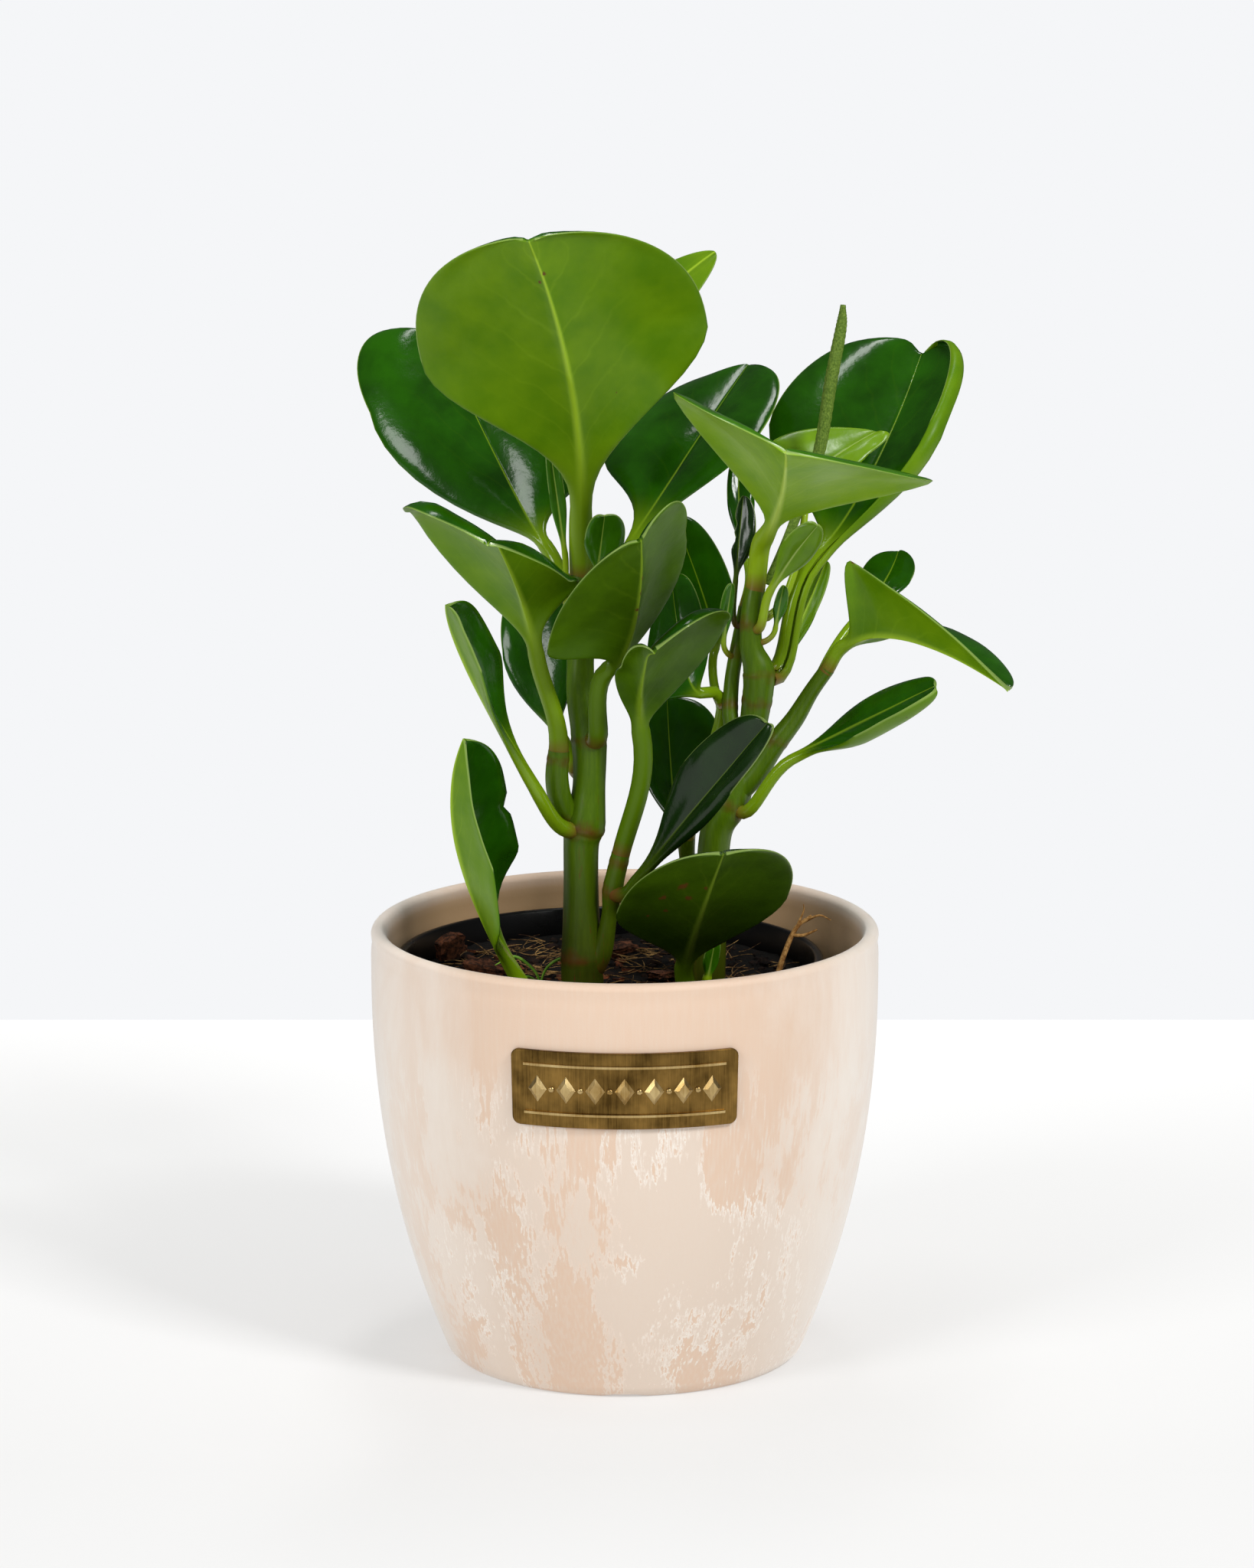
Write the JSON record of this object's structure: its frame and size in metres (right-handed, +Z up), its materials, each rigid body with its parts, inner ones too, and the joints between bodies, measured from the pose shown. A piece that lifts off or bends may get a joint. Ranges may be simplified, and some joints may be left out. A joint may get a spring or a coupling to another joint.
{
  "type": "potted baby rubber plant",
  "caption": "Blunt-leaved houseplant with thick stems and a flower spike, growing in a black nursery pot inside a tapered ceramic cachepot with a small brass plate.",
  "frame": {"origin": "middle of the cachepot's flat underside, on the surface it stands on", "axes": "+Z up along the pot's axis; the front with the brass plate faces -Y; +X is to the right seen from the front"},
  "size_m": [0.1649, 0.1316, 0.296],
  "materials": {
    "pot_glaze": "matte pinkish bisque with chalky white wash",
    "plate_brass": "antique, brushed upright",
    "nursery_plastic": "black moulded plastic",
    "potting_mix": "dark, fibrous, matte",
    "leaf_green": "waxy gloss above, satin below",
    "stem_green": "satin, with reddish brown nodes",
    "spike_green": "finely pebbled",
    "dry_straw": "dry and matte",
    "bark_brown": "rough and matte"
  },
  "bodies": {
    "root": {"bark_chip_front": "bark_brown", "bark_chip_left": "bark_brown", "bark_chip_middle": "bark_brown", "bark_chip_right": "bark_brown", "dry_root": "dry_straw", "flower_spike": "spike_green", "leaf_axil_upper": "leaf_green", "leaf_back_low": "leaf_green", "leaf_back_tall": "leaf_green", "leaf_branch_long": "leaf_green", "leaf_branch_low": "leaf_green", "leaf_branch_round": "leaf_green", "leaf_centre": "leaf_green", "leaf_centre_back": "leaf_green", "leaf_crown": "leaf_green", "leaf_crown_back": "leaf_green", "leaf_crown_bud": "leaf_green", "leaf_crown_rear": "leaf_green", "leaf_front_bract": "leaf_green", "leaf_front_cup": "leaf_green", "leaf_front_curl": "leaf_green", "leaf_front_low": "leaf_green", "leaf_left_cup": "leaf_green", "leaf_left_fold": "leaf_green", "leaf_left_inner": "leaf_green", "leaf_left_low": "leaf_green", "leaf_middle_cup": "leaf_green", "leaf_right_bract": "leaf_green", "leaf_right_fan": "leaf_green", "leaf_right_sliver": "leaf_green", "leaf_right_tall": "leaf_green", "leaf_sheath_left": "leaf_green", "leaf_sheath_right": "leaf_green", "leaf_shoot_back": "leaf_green", "leaf_shoot_dark": "leaf_green", "leaf_young": "leaf_green", "nameplate": "plate_brass", "nursery_pot": "nursery_plastic", "outer_pot": "pot_glaze", "potting_mix": "potting_mix", "sprout": "stem_green", "stem_left": "stem_green", "stem_right": "stem_green", "stem_thin": "stem_green"}
  },
  "joints": []
}
